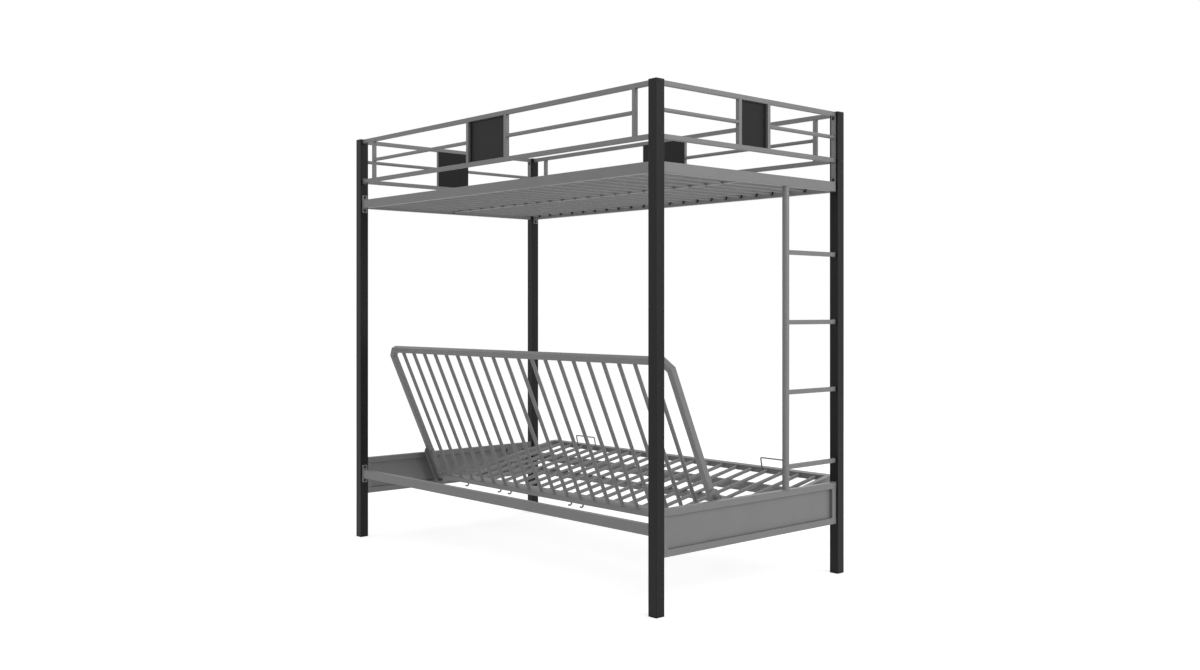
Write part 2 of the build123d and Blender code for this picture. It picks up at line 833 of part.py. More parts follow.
def guide_pin_place(share):
    """Where the guide pin's axis is in y and z at a share of the fold."""
    backrest_turn = radians(fold_angle * (1 - share))
    seat_turn = slope * (1 - share)
    crease_y = pivot.Y - crease_below_pivot * cos(backrest_turn)
    crease_z = pivot.Z - crease_below_pivot * sin(backrest_turn)
    return (
        crease_y - guide_pin_before_crease * cos(seat_turn) - guide_pin_drop * sin(seat_turn),
        crease_z + guide_pin_before_crease * sin(seat_turn) - guide_pin_drop * cos(seat_turn),
    )


guide_path = [guide_pin_place(step / guide_path_steps) for step in range(guide_path_steps + 1)]
slot_width = guide_pin_diameter + 2 * guide_slot_clearance
guide_reach = slot_width / 2 + guide_plate_margin
low_y = min(y for y, _ in guide_path) - guide_reach
high_y = max(y for y, _ in guide_path) + guide_reach
low_z = min(z for _, z in guide_path) - guide_reach
high_z = max(z for _, z in guide_path) + guide_reach

for end_name, end in ends:
    with BuildPart() as guide_plate:
        with BuildSketch(Plane.YZ.offset(end * panel_inner_x)):
            with Locations(((low_y + high_y) / 2, (low_z + high_z) / 2)):
                RectangleRounded(high_y - low_y, high_z - low_z, guide_plate_corner_radius)
            with BuildLine():
                Spline(*guide_path)
            trace(line_width=slot_width, mode=Mode.SUBTRACT)
            with Locations(guide_path[0], guide_path[-1]):
                Circle(slot_width / 2, mode=Mode.SUBTRACT)
        extrude(amount=-end * guide_plate_thickness)
    save(guide_plate.part, f"guide_plate_{end_name}")
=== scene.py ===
"""The looks of a steel bunk bed with a sofa below it that folds flat.

Each CAD node is cut back into its solids, and the box of each solid is a blank: one tube,
rod, plate or bolt. The piece that replaces the node is made on those blanks, with rounded
corners, weld fillets and its own finish, so it stays where the node is.

Lengths are in metres, in the part's own frame: the sofa faces -Y and +Z is up.
"""
import logging
import math
from dataclasses import dataclass
from enum import Enum
from typing import Any, Iterable, Iterator, Sequence

import bmesh
import bpy
from bmesh.types import BMEdge, BMesh, BMFace, BMVert
from bpy.types import Material, Mesh, Node, NodeSocket, NodeTree
from mathutils import Matrix, Quaternion, Vector


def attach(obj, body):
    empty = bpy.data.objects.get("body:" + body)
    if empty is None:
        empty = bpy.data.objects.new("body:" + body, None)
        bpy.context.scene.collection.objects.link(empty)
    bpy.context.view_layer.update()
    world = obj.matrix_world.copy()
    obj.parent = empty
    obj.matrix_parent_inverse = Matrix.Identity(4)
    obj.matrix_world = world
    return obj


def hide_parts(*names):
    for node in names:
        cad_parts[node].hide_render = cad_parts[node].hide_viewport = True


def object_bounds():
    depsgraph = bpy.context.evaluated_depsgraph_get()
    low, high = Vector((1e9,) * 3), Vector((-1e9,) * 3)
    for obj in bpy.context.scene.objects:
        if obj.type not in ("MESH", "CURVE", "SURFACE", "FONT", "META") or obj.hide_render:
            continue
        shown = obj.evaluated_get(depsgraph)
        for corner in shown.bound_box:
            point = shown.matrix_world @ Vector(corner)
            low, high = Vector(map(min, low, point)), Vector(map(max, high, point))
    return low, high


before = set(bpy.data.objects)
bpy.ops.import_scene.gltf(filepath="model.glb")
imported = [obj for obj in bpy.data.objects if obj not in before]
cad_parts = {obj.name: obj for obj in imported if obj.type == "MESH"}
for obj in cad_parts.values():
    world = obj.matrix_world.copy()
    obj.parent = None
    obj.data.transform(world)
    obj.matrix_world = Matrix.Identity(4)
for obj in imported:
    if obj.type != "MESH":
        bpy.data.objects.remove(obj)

CAD_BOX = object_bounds()
MM = 0.001
TOUCH = 0.001 * MM
LOG = logging.getLogger("bed")

X, Y, Z = range(3)
X_AXIS = Vector((1.0, 0.0, 0.0))
Y_AXIS = Vector((0.0, 1.0, 0.0))
Z_AXIS = Vector((0.0, 0.0, 1.0))
WHITE = (1.0, 1.0, 1.0, 1.0)

# What the finishes share
CLOUD_WIDTH = 90 * MM
CLOUD_DETAIL = 3.0
LUMP_DETAIL = 2.0
NOISE_BAND = (0.3, 0.7)
FLECK_BAND = (0.62, 0.72)
FLECK_SHARE = 0.45
FLECK_GAIN = 1.9
ROUGHNESS_SPREAD = 0.05

# What the shapes share: the corners of tubes and plates, the weld beads and the facets
TUBE_CORNER = 2 * MM
TUBE_CORNER_STEPS = 4
PLATE_CORNER = 3 * MM
PLATE_CORNER_STEPS = 5
EASE_STEPS = 2
BEAD_PITCH = 2.2 * MM
BEAD_INSET = 1.2 * MM
BEAD_SHARES = ((0.15, 0.88), (0.6, 1.0))
FILLET_SHARES = ((0.0, 1.0), (0.3, 0.5), (0.8, 0.15), (1.5, 0.0))
SORT_DIGITS = 4
HEX_STEP = math.pi / 3
TURNED_SIDES = 24
BEAD_SIDES = 8
WIRE_SIDES = 14
ROD_GAIN = 0.7 * MM

# How edges are told apart: along an axis or across it, sharp, flat, or shaded as a crease
ALONG = 0.9
ACROSS = 0.1
SHARP = math.radians(60)
FLAT = math.radians(0.5)
CREASE = math.radians(35)
LEVEL = math.radians(90)


@dataclass(frozen=True)
class Shading:
    """The node tree of a material or of the world."""

    tree: NodeTree

    def feed(self, node: Node, inputs: dict[str | int, Any]) -> None:
        """Fills the inputs of a node.

        Args:
            node: the node.
            inputs: for an input's name or number, its value or the socket that feeds it.
        """
        for key, value in inputs.items():
            if isinstance(value, NodeSocket):
                self.tree.links.new(value, node.inputs[key])
            else:
                node.inputs[key].default_value = value

    def add(self, kind: str, inputs: dict[str | int, Any], **settings: str) -> Node:
        """Adds a node.

        Args:
            kind: its type, without ShaderNode in front.
            inputs: what goes into it.
            settings: its own settings.

        Returns:
            The node.
        """
        node = self.tree.nodes.new(f"ShaderNode{kind}")
        for name, value in settings.items():
            setattr(node, name, value)
        self.feed(node, inputs)
        return node

    def noise(self, place: NodeSocket, width: float, detail: float) -> NodeSocket:
        """A noise whose lumps have a real width.

        Args:
            place: the coordinates that it reads.
            width: the lumps' width in metres.
            detail: how many finer octaves it has.

        Returns:
            The noise, from 0 to 1.
        """
        inputs = {"Scale": 1.0 / width, "Detail": detail, "Vector": place}
        return self.add("TexNoise", inputs).outputs["Fac"]

    def stretch(self, source: NodeSocket, reads: tuple[float, float],
                gives: tuple[float, float]) -> NodeSocket:
        """Stretches a value from one range to another.

        Args:
            source: the value.
            reads: the two values that it is read between.
            gives: what these two become.

        Returns:
            The stretched value, held inside the new range.
        """
        names = ("Value", "From Min", "From Max", "To Min", "To Max")
        inputs = dict(zip(names, (source, *reads, *gives)))
        return self.add("MapRange", inputs).outputs["Result"]

    def seen(self) -> NodeSocket:
        """A switch that is 1 for what the eye, a mirror or a glass sees.

        Returns:
            The switch.
        """
        path = self.add("LightPath", {})
        total = path.outputs["Is Camera Ray"]
        for name in ("Is Glossy Ray", "Is Transmission Ray"):
            inputs = {0: total, 1: path.outputs[name]}
            total = self.add("Math", inputs, operation="MAXIMUM").outputs[0]
        return total


@dataclass(frozen=True)
class Finish:
    """The surface of one material: its colour, its gloss and its fine relief.

    ``grain`` is the width of the lumps in the coat and ``relief`` their height, in metres.
    ``mottle`` is the share by which the colour wanders, and ``fleck`` that of bright specks.
    """

    name: str
    slot: str
    made: str
    colour: tuple[float, float, float]
    roughness: float
    metallic: float
    specular: float
    grain: float
    relief: float
    mottle: float
    fleck: float

    def material(self) -> Material:
        """The finish as a node material, made once.

        Returns:
            The material, which reads the piece's own object coordinates.
        """
        known = bpy.data.materials.get(self.name)
        if known:
            return known
        material = bpy.data.materials.new(self.name)
        material.use_nodes = True
        shading = Shading(material.node_tree)
        place = shading.add("TexCoord", {}).outputs["Object"]
        lumps = shading.noise(place, self.grain, LUMP_DETAIL)
        bump = shading.add("Bump", {"Distance": self.relief, "Height": lumps})
        spread = (self.roughness - ROUGHNESS_SPREAD, self.roughness + ROUGHNESS_SPREAD)
        shading.feed(material.node_tree.nodes["Principled BSDF"], {
            "Base Color": self._colour(shading, place),
            "Metallic": self.metallic,
            "Specular IOR Level": self.specular,
            "Roughness": shading.stretch(lumps, NOISE_BAND, spread),
            "Normal": bump.outputs["Normal"],
        })
        return material

    def _tone(self, gain: float) -> tuple[float, float, float, float]:
        """The finish's colour, made lighter or darker."""
        return (*(min(1.0, part * gain) for part in self.colour), 1.0)

    def _colour(self, shading: Shading, place: NodeSocket) -> NodeSocket:
        """The coat's colour, with its mottling and its flecks.

        Args:
            shading: the material's nodes.
            place: the object coordinates.

        Returns:
            The colour.
        """
        clouds = shading.noise(place, CLOUD_WIDTH, CLOUD_DETAIL)
        mottled = shading.add("Mix", {
            "Factor": shading.stretch(clouds, NOISE_BAND, (0.0, 1.0)),
            "A": self._tone(1 - self.mottle),
            "B": self._tone(1 + self.mottle),
        }, data_type="RGBA")
        specks = shading.noise(place, self.grain * FLECK_SHARE, 0.0)
        flecked = shading.add("Mix", {
            "Factor": shading.stretch(specks, FLECK_BAND, (0.0, self.fleck)),
            "A": mottled.outputs["Result"],
            "B": self._tone(FLECK_GAIN),
        }, data_type="RGBA")
        return flecked.outputs["Result"]


class Coat(Enum):
    """The finishes that the bed's pieces choose from."""

    SILVER = Finish(
        name="silver_powder_coat", slot="silver_steel", made="coated",
        colour=(0.195, 0.195, 0.194), roughness=0.46, metallic=0.25, specular=0.4,
        grain=1.6 * MM, relief=0.05 * MM, mottle=0.03, fleck=0.25)
    CHARCOAL = Finish(
        name="charcoal_powder_coat", slot="charcoal_steel", made="coated",
        colour=(0.0075, 0.0078, 0.0084), roughness=0.4, metallic=0.0, specular=0.19,
        grain=1.3 * MM, relief=0.06 * MM, mottle=0.06, fleck=0.15)
    PLASTIC = Finish(
        name="black_moulded_plastic", slot="black_plastic", made="moulded",
        colour=(0.006, 0.006, 0.006), roughness=0.5, metallic=0.0, specular=0.2,
        grain=0.8 * MM, relief=0.04 * MM, mottle=0.04, fleck=0.0)
    ZINC = Finish(
        name="dark_zinc_plate", slot="dark_zinc_steel", made="plated",
        colour=(0.2, 0.2, 0.203), roughness=0.34, metallic=0.8, specular=0.4,
        grain=3.0 * MM, relief=0.02 * MM, mottle=0.12, fleck=0.1)
    BLACK_ZINC = Finish(
        name="black_zinc_plate", slot="dark_zinc_steel", made="plated",
        colour=(0.03, 0.03, 0.031), roughness=0.36, metallic=0.7, specular=0.35,
        grain=3.0 * MM, relief=0.02 * MM, mottle=0.12, fleck=0.1)


@dataclass(frozen=True)
class Blank:
    """The box of one CAD solid, in its sub-assembly's working frame."""

    low: Vector
    high: Vector

    @property
    def size(self) -> Vector:
        """The box's three sides."""
        return self.high - self.low

    @property
    def centre(self) -> Vector:
        """The middle of the box."""
        return (self.low + self.high) / 2

    @property
    def axis(self) -> int:
        """The number of the box's longest side."""
        return max(range(3), key=lambda side: self.size[side])

    def end(self, axis: int, sign: float) -> float:
        """Where the box ends on an axis, up it or down it."""
        return self.high[axis] if sign > 0 else self.low[axis]

    def slice(self, axis: int, start: float, length: float) -> "Blank":
        """A part of the box cut across one axis.

        Args:
            axis: the axis that is cut.
            start: where the part starts on it.
            length: how long the part is.

        Returns:
            The part as a blank of its own.
        """
        low, high = self.low.copy(), self.high.copy()
        low[axis], high[axis] = start, start + length
        return Blank(low, high)

    def section(self, axis: int, sides: tuple[float, float]) -> "Blank":
        """A bar along one axis through the middle of the box.

        Args:
            axis: the bar's axis.
            sides: its section's two sides, in the order of the other axes.

        Returns:
            The bar as a blank.
        """
        others = [side for side in range(3) if side != axis]
        low, high = self.low.copy(), self.high.copy()
        for side, width in zip(others, sides):
            low[side] = self.centre[side] - width / 2
            high[side] = self.centre[side] + width / 2
        return Blank(low, high)


def unit(axis: int, sign: float = 1.0) -> Vector:
    """The direction of an axis, or with a sign of -1 the opposite one."""
    return Vector([sign if side == axis else 0.0 for side in range(3)])


def solids_of(node: str, place: Matrix) -> list[Blank]:
    """Cuts a CAD node back into its solids.

    Args:
        node: the node's name.
        place: the working frame.

    Returns:
        The box of each solid, in the working frame, from -X to +X.
    """
    work = bmesh.new()
    work.from_mesh(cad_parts[node].data)
    bmesh.ops.remove_doubles(work, verts=work.verts, dist=TOUCH)
    bmesh.ops.transform(work, matrix=place.inverted(), verts=work.verts)
    left = set(work.verts)
    blanks = []
    while left:
        reached = [left.pop()]
        for vert in reached:
            near = {edge.other_vert(vert) for edge in vert.link_edges} & left
            left -= near
            reached.extend(near)
        corners = [[vert.co[side] for vert in reached] for side in range(3)]
        blanks.append(Blank(Vector(map(min, corners)), Vector(map(max, corners))))
    work.free()
    return sorted(blanks, key=lambda blank: tuple(round(c, SORT_DIGITS) for c in blank.low))


def finished(work: BMesh) -> Mesh:
    """Closes a shape: merges what coincides and points its faces outwards.

    Args:
        work: the shape, which is freed.

    Returns:
        The shape as a mesh.
    """
    bmesh.ops.remove_doubles(work, verts=work.verts, dist=TOUCH)
    bmesh.ops.recalc_face_normals(work, faces=work.faces)
    shape = bpy.data.meshes.new("shape")
    work.to_mesh(shape)
    work.free()
    return shape


def bevelled(work: BMesh, geom: Iterable[BMEdge | BMVert], width: float, steps: int,
             affect: str = "EDGES") -> None:
    """Rounds edges or corners of a shape.

    Args:
        work: the shape.
        geom: what to round.
        width: how far in the rounding starts.
        steps: how many faces it has.
        affect: whether EDGES or VERTICES are rounded.
    """
    bmesh.ops.bevel(work, geom=list(geom), offset=width, offset_type="OFFSET", segments=steps,
                    profile=0.5, affect=affect, clamp_overlap=True, material=-1)


def sharp_edges(work: BMesh) -> list[BMEdge]:
    """The edges where a shape turns sharply."""
    return [edge for edge in work.edges if edge.calc_face_angle(0.0) > SHARP]


def slant(edge: BMEdge, axis: int) -> float:
    """How far an edge runs along an axis, from 0 across it to 1 along it."""
    return abs((edge.verts[0].co - edge.verts[1].co).normalized()[axis])


def box_shape(size: Vector) -> BMesh:
    """A box about the origin, still to be rounded.

    Args:
        size: its three sides.

    Returns:
        The box.
    """
    work = bmesh.new()
    bmesh.ops.create_cube(work, size=1.0, matrix=Matrix.Diagonal((*size, 1.0)))
    return work


def bar_shape(size: Vector, corner: float) -> Mesh:
    """A square or flat tube with rounded long edges, about the origin.

    Args:
        size: its three sides.
        corner: the radius of its long edges.

    Returns:
        The bar.
    """
    work = box_shape(size)
    longest = max(range(3), key=lambda side: size[side])
    long_edges = [edge for edge in work.edges if slant(edge, longest) > ALONG]
    bevelled(work, long_edges, corner, TUBE_CORNER_STEPS)
    return finished(work)


def plate_shape(size: Vector, corner: float, ease: float) -> Mesh:
    """A flat plate with rounded corners and eased edges, about the origin.

    Args:
        size: its three sides.
        corner: the radius of its outline's corners.
        ease: the rounding of its edges.

    Returns:
        The plate.
    """
    work = box_shape(size)
    thin = min(range(3), key=lambda side: size[side])
    through = [edge for edge in work.edges if slant(edge, thin) > ALONG]
    bevelled(work, through, corner, PLATE_CORNER_STEPS)
    rims = [edge for edge in sharp_edges(work) if slant(edge, thin) < ACROSS]
    bevelled(work, rims, ease, EASE_STEPS)
    return finished(work)


def turned_shape(profile: Sequence[tuple[float, float]], sides: int = TURNED_SIDES,
                 hexes: Iterable[float] = ()) -> Mesh:
    """A shape turned about Z.

    Args:
        profile: its outline as heights and radii.
        sides: how many faces go round.
        hexes: the radii in the outline that are pulled in to a hexagon's flats.

    Returns:
        The turned shape.
    """
    work = bmesh.new()
    points = [work.verts.new((radius, 0.0, height)) for height, radius in profile]
    lines = [work.edges.new(pair) for pair in zip(points, points[1:])]
    bmesh.ops.spin(work, geom=points + lines, cent=(0, 0, 0), axis=Z_AXIS, angle=2 * math.pi,
                   steps=sides, use_merge=True, use_duplicate=False)
    for vert in work.verts:
        radius = vert.co.xy.length
        if any(abs(radius - flat) < TOUCH for flat in hexes):
            turn = math.atan2(vert.co.y, vert.co.x) % HEX_STEP - HEX_STEP / 2
            vert.co.xy *= math.cos(HEX_STEP / 2) / math.cos(turn)
    return finished(work)


def rod_shape(length: float, radius: float, fillet: float) -> Mesh:
    """A round rod along Z with a weld fillet at each end.

    Args:
        length: its length.
        radius: its radius.
        fillet: how far the fillets stand out.

    Returns:
        The rod, which starts at the origin.
    """
    weld = [(along * fillet, radius + out * fillet) for along, out in FILLET_SHARES]
    end = [(0.0, 0.0), *weld]
    return turned_shape(end + [(length - height, wide) for height, wide in reversed(end)])


def bead_shape(length: float, radius: float) -> Mesh:
    """A weld bead along Z, with the ripples of its run.

    Args:
        length: its length.
        radius: its radius.

    Returns:
        The bead, which starts at the origin.
    """
    count = max(2, round(length / BEAD_PITCH))
    ripples = [(length * (ripple + share) / count, radius * swell)
               for ripple in range(count) for share, swell in BEAD_SHARES]
    return turned_shape([(0.0, 0.0), *ripples, (length, 0.0)], sides=BEAD_SIDES)


def swept_shape(section: BMesh, path: Sequence[Vector], normal: Vector) -> Mesh:
    """Draws a section along a flat path, mitred where the path turns.

    Args:
        section: one face in XY: its x lies beside the path and its y along the normal.
        path: the points of the section's centre.
        normal: the normal of the path's plane.

    Returns:
        The swept shape.
    """
    section.faces.ensure_lookup_table()
    face = section.faces[0]
    offsets = [vert.co.xy for vert in face.verts]
    runs = [(after - before).normalized() for before, after in zip(path, path[1:])]
    for index, (point, before, after) in enumerate(zip(path, runs[:1] + runs, runs + runs[-1:])):
        if index:
            made = bmesh.ops.extrude_face_region(section, geom=[face], use_keep_orig=index == 1)
            face = next(new for new in made["geom"] if isinstance(new, BMFace))
        along = (before + after).normalized()
        beside = along.cross(normal) / along.dot(after)
        for vert, offset in zip(face.verts, offsets):
            vert.co = point + beside * offset.x + normal * offset.y
    return finished(section)


def square_section(size: float, corner: float) -> BMesh:
    """The outline of a square tube, as one face in XY.

    Args:
        size: its side.
        corner: the radius of its corners.

    Returns:
        The outline.
    """
    work = bmesh.new()
    bmesh.ops.create_grid(work, x_segments=1, y_segments=1, size=size / 2)
    bevelled(work, work.verts, corner, TUBE_CORNER_STEPS, "VERTICES")
    return work


def round_section(radius: float) -> BMesh:
    """The outline of a wire, as one face in XY.

    Args:
        radius: its radius.

    Returns:
        The outline.
    """
    work = bmesh.new()
    bmesh.ops.create_circle(work, cap_ends=True, radius=radius, segments=WIRE_SIDES)
    return work


def bent_path(points: Sequence[Vector], radius: float, steps: int) -> list[Vector]:
    """Rounds the corners of a path.

    Args:
        points: the path's points.
        radius: the radius of each bend.
        steps: how many runs each bend has.

    Returns:
        The points of the rounded path.
    """
    path = [points[0]]
    for before, corner, after in zip(points, points[1:], points[2:]):
        back, ahead = (before - corner).normalized(), (after - corner).normalized()
        half = back.angle(ahead) / 2
        centre = corner + (back + ahead).normalized() * radius / math.sin(half)
        arm = corner + back * radius / math.tan(half) - centre
        turn = math.pi - 2 * half
        axis = ahead.cross(back)
        for step in range(steps + 1):
            path.append(centre + Quaternion(axis, turn * step / steps) @ arm)
    return path + [points[-1]]


def eased_copy(node: str, ease: float) -> Mesh:
    """A CAD node's own shape with its sharp edges eased.

    Args:
        node: the node's name.
        ease: the rounding of its edges.

    Returns:
        The eased shape, in the part's frame.
    """
    work = bmesh.new()
    work.from_mesh(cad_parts[node].data)
    bmesh.ops.remove_doubles(work, verts=work.verts, dist=TOUCH)
    bmesh.ops.dissolve_limit(work, angle_limit=FLAT, verts=work.verts, edges=work.edges)
    bevelled(work, sharp_edges(work), ease, EASE_STEPS)
    return finished(work)


class Bench:
    """A mesh in the making, in the working frame of its sub-assembly."""

    def __init__(self, place: Matrix, body: str) -> None:
        """Starts an empty mesh.

        Args:
            place: the working frame in the part's frame.
            body: the body that the piece will ride on.
        """
        self.work = bmesh.new()
        self.place = place
        self.body = body

    def add(self, shape: Mesh, at: Matrix = Matrix.Identity(4)) -> None:
        """Sets a copy of a shape into the mesh.

        Args:
            shape: the shape.
            at: its place in the working frame.
        """
        first = len(self.work.verts)
        self.work.from_mesh(shape)
        self.work.verts.ensure_lookup_table()
        bmesh.ops.transform(self.work, matrix=at, verts=self.work.verts[first:])

    def stand(self, shape: Mesh, foot: Vector, up: Vector) -> None:
        """Sets a shape made along Z on a point, along another direction.

        Args:
            shape: the shape.
            foot: where its origin goes.
            up: where its Z points.
        """
        self.add(shape, Matrix.Translation(foot) @ up.to_track_quat("Z", "Y").to_matrix().to_4x4())

    def bar(self, blank: Blank, corner: float) -> None:
        """Makes a tube with rounded long edges on a blank."""
        self.add(bar_shape(blank.size, corner), Matrix.Translation(blank.centre))

    def plate(self, blank: Blank, corner: float, ease: float) -> None:
        """Makes a plate with rounded corners on a blank."""
        self.add(plate_shape(blank.size, corner, ease), Matrix.Translation(blank.centre))

    def rod(self, blank: Blank, fillet: float, gain: float = 0.0) -> None:
        """Makes a round rod with weld fillets on a blank.

        Args:
            blank: the rod's box.
            fillet: how far its weld fillets stand out.
            gain: how much larger its radius is than its box's.
        """
        axis = blank.axis
        radius = blank.size[(axis + 1) % 3] / 2 + gain
        foot = blank.centre.copy()
        foot[axis] = blank.low[axis]
        self.stand(rod_shape(blank.size[axis], radius, fillet), foot, unit(axis))

    def end_welds(self, blank: Blank, axis: int, across: int, radius: float) -> None:
        """Lays the four beads where a tube's ends meet the tubes that it stands between.

        Args:
            blank: the tube.
            axis: its long axis.
            across: the axis that the beads run along.
            radius: their radius.
        """
        beside = 3 - axis - across
        length = blank.size[across] - 2 * BEAD_INSET
        for end in (blank.low[axis], blank.high[axis]):
            for flank in (blank.low[beside], blank.high[beside]):
                start = Vector()
                start[axis], start[beside] = end, flank
                start[across] = blank.low[across] + BEAD_INSET
                self.stand(bead_shape(length, radius), start, unit(across))

    def welded_tube(self, blank: Blank, axis: int, across: int, radius: float) -> None:
        """Makes a square tube and the beads at its ends.

        Args:
            blank: the tube.
            axis: its long axis.
            across: the axis that the beads run along.
            radius: their radius.
        """
        self.bar(blank, TUBE_CORNER)
        self.end_welds(blank, axis, across, radius)

    def plated_rail(self, rail: Blank, plates: Blank, thickness: float, ease: float,
                    bead: float) -> None:
        """Makes a rail along X with a plate welded on each end.

        Args:
            rail: the rail, as long as it is with its plates.
            plates: a bar of that length with the plates' outline.
            thickness: the thickness of a plate.
            ease: the rounding of the plates' edges.
            bead: the radius of the weld beads.
        """
        start, length = rail.low.x, rail.size.x
        self.bar(rail.slice(X, start + thickness / 2, length - thickness), TUBE_CORNER)
        for edge in (start, rail.high.x - thickness):
            self.plate(plates.slice(X, edge, thickness), PLATE_CORNER, ease)
        self.end_welds(rail.slice(X, start + thickness, length - 2 * thickness), X, Y, bead)

    def deliver(self, coat: Coat, node: str = "", name: str = "") -> None:
        """Turns the mesh into a piece.

        Args:
            coat: its finish.
            node: the CAD node that it replaces, or empty for none.
            name: its name, or empty for one after the node.
        """
        finish = coat.value
        title = name or f"{finish.made}_{node}"
        bmesh.ops.transform(self.work, matrix=self.place, verts=self.work.verts)
        mesh = bpy.data.meshes.new(title)
        self.work.to_mesh(mesh)
        self.work.free()
        mesh.polygons.foreach_set("use_smooth", [True] * len(mesh.polygons))
        mesh.set_sharp_from_angle(angle=CREASE)
        mesh.materials.append(finish.material())
        piece = bpy.data.objects.new(title, mesh)
        bpy.context.scene.collection.objects.link(piece)
        weighted = piece.modifiers.new("flat_faces", "WEIGHTED_NORMAL")
        weighted.keep_sharp = True
        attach(piece, self.body)
        if node:
            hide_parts(node)
        LOG.info("%s: %d faces on body %s", title, len(mesh.polygons), self.body)


@dataclass
class SubAssembly:
    """Pieces that share a body and a working frame.

    The working frame is the part's own frame turned about X by ``tilt`` degrees, so that a
    frame that leans by that much stands straight in it.
    """

    body: str = "frame"
    tilt: float = 0.0

    @property
    def place(self) -> Matrix:
        """The working frame."""
        return Matrix.Rotation(-math.radians(self.tilt), 4, "X")

    def bench(self) -> Bench:
        """An empty mesh in the working frame."""
        return Bench(self.place, self.body)

    def blanks(self, node: str) -> list[Blank]:
        """The solids of a CAD node in the working frame."""
        return solids_of(node, self.place)

    def middle(self, node: str) -> Vector:
        """The mean place of a CAD node's solids."""
        blanks = self.blanks(node)
        return sum((blank.centre for blank in blanks), Vector()) / len(blanks)

    def keep(self, node: str, coat: Coat) -> None:
        """Gives a CAD node that stays its finish.

        Args:
            node: the node.
            coat: its finish.
        """
        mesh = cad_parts[node].data
        mesh.materials.clear()
        mesh.materials.append(coat.value.material())
        LOG.info("%s: kept, %s", node, coat.name.lower())

    def eased(self, node: str, coat: Coat, ease: float, body: str) -> None:
        """Replaces a CAD node by its own shape with eased edges.

        Args:
            node: the node.
            coat: its finish.
            ease: the rounding of its edges.
            body: the node's body.
        """
        bench = Bench(Matrix.Identity(4), body)
        bench.add(eased_copy(node, ease))
        bench.deliver(coat, node)

    def each(self, node: str, coat: Coat = Coat.SILVER) -> Iterator[tuple[Bench, Blank]]:
        """Goes through a CAD node's solids, and then replaces the node by what was made.

        Args:
            node: the node.
            coat: the piece's finish.

        Returns:
            The piece's bench and the solid's blank, for one solid after another.
        """
        bench = self.bench()
        for blank in self.blanks(node):
            yield bench, blank
        bench.deliver(coat, node)

    def tubes(self, node: str) -> None:
        """Makes square tubes."""
        for bench, blank in self.each(node):
            bench.bar(blank, TUBE_CORNER)

    def welded_tubes(self, node: str, axis: int, across: int, radius: float) -> None:
        """Makes square tubes with weld beads at their ends.

        Args:
            node: the CAD node.
            axis: the tubes' long axis.
            across: the axis that the beads run along.
            radius: the beads' radius.
        """
        for bench, blank in self.each(node):
            bench.welded_tube(blank, axis, across, radius)

    def rods(self, node: str, fillet: float, gain: float = ROD_GAIN) -> None:
        """Makes round rods with a weld fillet at each end.

        Args:
            node: the CAD node.
            fillet: how far the fillets stand out.
            gain: how much larger a rod's radius is than its blank's.
        """
        for bench, blank in self.each(node):
            bench.rod(blank, fillet, gain)

    def build(self) -> None:
        """Makes the sub-assembly's pieces."""
        raise NotImplementedError


@dataclass
class Posts(SubAssembly):
    """The four posts, with a plug in each end."""

    flange: float = 3 * MM
    foot: float = 5 * MM
    leg: float = 8 * MM
    leg_inset: float = 1.6 * MM
    ease: float = 1 * MM

    def build(self) -> None:
        """Keeps the post tubes and makes their caps and feet."""
        for side in ("back", "front"):
            for end in ("left", "right"):
                self.keep(f"post_{side}_{end}", Coat.CHARCOAL)
        self.plugs("post_caps", self.flange, True)
        self.plugs("post_feet", self.foot, False)

    def plugs(self, node: str, flange: float, top: bool) -> None:
        """Makes a plug for each post.

        Args:
            node: the CAD node.
            flange: the thickness of what stands out of the post.
            top: whether the plugs close the posts' upper ends.
        """
        half = Vector((self.leg / 2, self.leg / 2, 0.0))
        for bench, blank in self.each(node, Coat.PLASTIC):
            start = blank.high.z - flange if top else blank.low.z
            bench.plate(blank.slice(Z, start, flange), TUBE_CORNER, self.ease)
            root = blank.low.z if top else blank.low.z + flange
            reach = blank.size.x / 2 - self.leg_inset - self.leg / 2
            for across in (-reach, reach):
                for along in (-reach, reach):
                    middle = blank.centre + Vector((across, along, 0.0))
                    leg = Blank(middle - half, middle + half)
                    bench.bar(leg.slice(Z, root, blank.size.z - flange), self.ease)


@dataclass
class Guard(SubAssembly):
    """A guard rail of two rails, uprights, two rods and a panel.

    The panel is a plate between two uprights, and a thin sheet that laps over the inner
    faces of these uprights.
    """

    side: str = "back"
    tube: float = 16 * MM
    tube_height: float = 18 * MM
    fillet: float = 0.9 * MM
    bead: float = 1.6 * MM
    rail_bead: float = 0.9 * MM
    ease: float = 0.5 * MM
    sheet: float = 1.2 * MM
    sheet_corner: float = 2 * MM
    sheet_ease: float = 0.3 * MM

    def panel(self, through: int) -> None:
        """Makes the panel.

        Args:
            through: the axis across the guard.
        """
        for bench, blank in self.each(f"guard_panel_{self.side}", Coat.CHARCOAL):
            bench.plate(blank, self.sheet_ease, self.sheet_ease)
            low, high = blank.low.copy(), blank.high.copy()
            low[1 - through] -= self.tube - self.ease
            high[1 - through] += self.tube - self.ease
            inner = blank.low[through] - self.sheet
            start = inner if blank.centre[through] > 0 else blank.high[through]
            lapped = Blank(low, high).slice(through, start, self.sheet)
            bench.plate(lapped, self.sheet_corner, self.sheet_ease)


